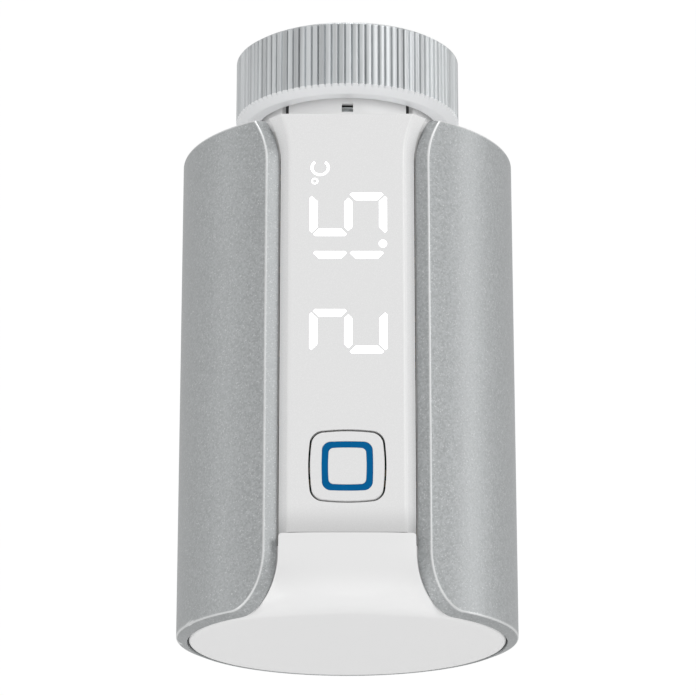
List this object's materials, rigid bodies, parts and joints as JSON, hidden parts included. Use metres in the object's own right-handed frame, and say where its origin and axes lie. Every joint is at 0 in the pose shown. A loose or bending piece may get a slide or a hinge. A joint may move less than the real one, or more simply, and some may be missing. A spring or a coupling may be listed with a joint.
{
  "type": "electronic radiator thermostat head",
  "caption": "Battery-driven radiator thermostat head: knurled union nut, satin metal sleeve, upright lit display, square button and pull-off battery cover.",
  "frame": {"origin": "centre of the union nut's mouth, where the valve enters", "axes": "+Z along the nut's axis, out of its mouth towards the valve; the display faces -Y; +X is the viewer's right"},
  "size_m": [0.053, 0.0513, 0.0968],
  "materials": {
    "sleeve_metal": "satin metallic lacquer",
    "white_gloss": "glossy white",
    "white_satin": "satin white",
    "signal_blue": "translucent blue",
    "display_light": "lit white diffuser",
    "nut_metal": "knurled, satin nickel",
    "chassis_plastic": "moulded light grey",
    "gear_plastic": "natural acetal",
    "brass": "turned",
    "steel": "zinc plated",
    "motor_can": "drawn steel can",
    "board_green": "solder mask",
    "component_black": "moulded epoxy",
    "contact_nickel": "nickel plated spring strip",
    "cell_wrap": "printed sleeve without marks"
  },
  "bodies": {
    "housing": {"outer_sleeve": "sleeve_metal", "display_panel": "white_gloss", "display_module": "component_black", "segment_lights": "display_light", "tact_switch": "component_black", "main_board": "board_green", "controller_chip": "component_black", "radio_module": "steel", "antenna": "brass", "temperature_sensor": "component_black", "board_capacitor": "component_black", "board_screws": "steel", "battery_tray": "chassis_plastic", "battery_left": "cell_wrap", "battery_right": "cell_wrap", "top_contact_plus": "contact_nickel", "top_contact_minus": "contact_nickel", "top_contact_spring": "contact_nickel", "front_housing": "chassis_plastic", "rear_housing": "chassis_plastic", "housing_screws": "steel", "top_cap": "white_satin", "mounting_collar": "white_satin", "collar_screws": "steel", "thrust_washer": "steel", "gear_axles": "steel", "motor": "motor_can", "motor_contacts": "contact_nickel", "gear_frame_upper": "chassis_plastic", "gear_frame_lower": "chassis_plastic", "frame_screws": "steel"},
    "nut": {"union_nut": "nut_metal"},
    "button": {"system_button": "white_gloss", "button_light_ring": "signal_blue", "switch_plunger": "chassis_plastic"},
    "cover": {"battery_cover": "white_gloss", "cover_bridge_contact": "contact_nickel", "cover_contact_spring": "contact_nickel"},
    "plunger": {"push_plunger": "gear_plastic"},
    "spindle": {"spindle_gear": "gear_plastic"},
    "gear_1": {"gear_1": "gear_plastic"},
    "gear_2": {"gear_2": "gear_plastic"},
    "motor_rotor": {"motor_pinion": "brass", "motor_shaft": "steel"}
  },
  "joints": [
    {"name": "nut_spin", "type": "hinge", "parent": "housing", "child": "nut", "pos_m": [0, 0, -0.005], "axis": [0, 0, 1], "continuous": true},
    {"name": "button_press", "type": "slide", "parent": "housing", "child": "button", "axis": [0, 1, 0], "range_m": [0, 0.0004], "stiffness_N_per_m": 1500, "springref_m": -0.0003},
    {"name": "cover_pull", "type": "slide", "parent": "housing", "child": "cover", "axis": [0, 0, -1], "range_m": [0, 0.055]},
    {"name": "spindle_turn", "type": "hinge", "parent": "housing", "child": "spindle", "pos_m": [0, 0, -0.03], "axis": [0, 0, 1], "range_deg": [0, 773.9]},
    {"name": "plunger_push", "type": "slide", "parent": "housing", "child": "plunger", "axis": [0, 0, 1], "range_m": [0, 0.0043]},
    {"name": "gear_2_turn", "type": "hinge", "parent": "housing", "child": "gear_2", "pos_m": [0.01168, 0.00941, -0.03], "axis": [0, 0, 1], "range_deg": [-3096, 0]},
    {"name": "gear_1_turn", "type": "hinge", "parent": "housing", "child": "gear_1", "pos_m": [0.0136, 0, -0.03], "axis": [0, 0, 1], "range_deg": [0, 9288]},
    {"name": "motor_turn", "type": "hinge", "parent": "housing", "child": "motor_rotor", "pos_m": [0.0058, -0.00688, -0.03], "axis": [0, 0, 1], "range_deg": [-30960, 0]}
  ],
  "couplings": [
    {"joint": "plunger_push", "follows": "spindle_turn", "m_per_rad": 0.00031831},
    {"joint": "gear_2_turn", "follows": "spindle_turn", "ratio": -4},
    {"joint": "gear_1_turn", "follows": "spindle_turn", "ratio": 12},
    {"joint": "motor_turn", "follows": "spindle_turn", "ratio": -40}
  ]
}
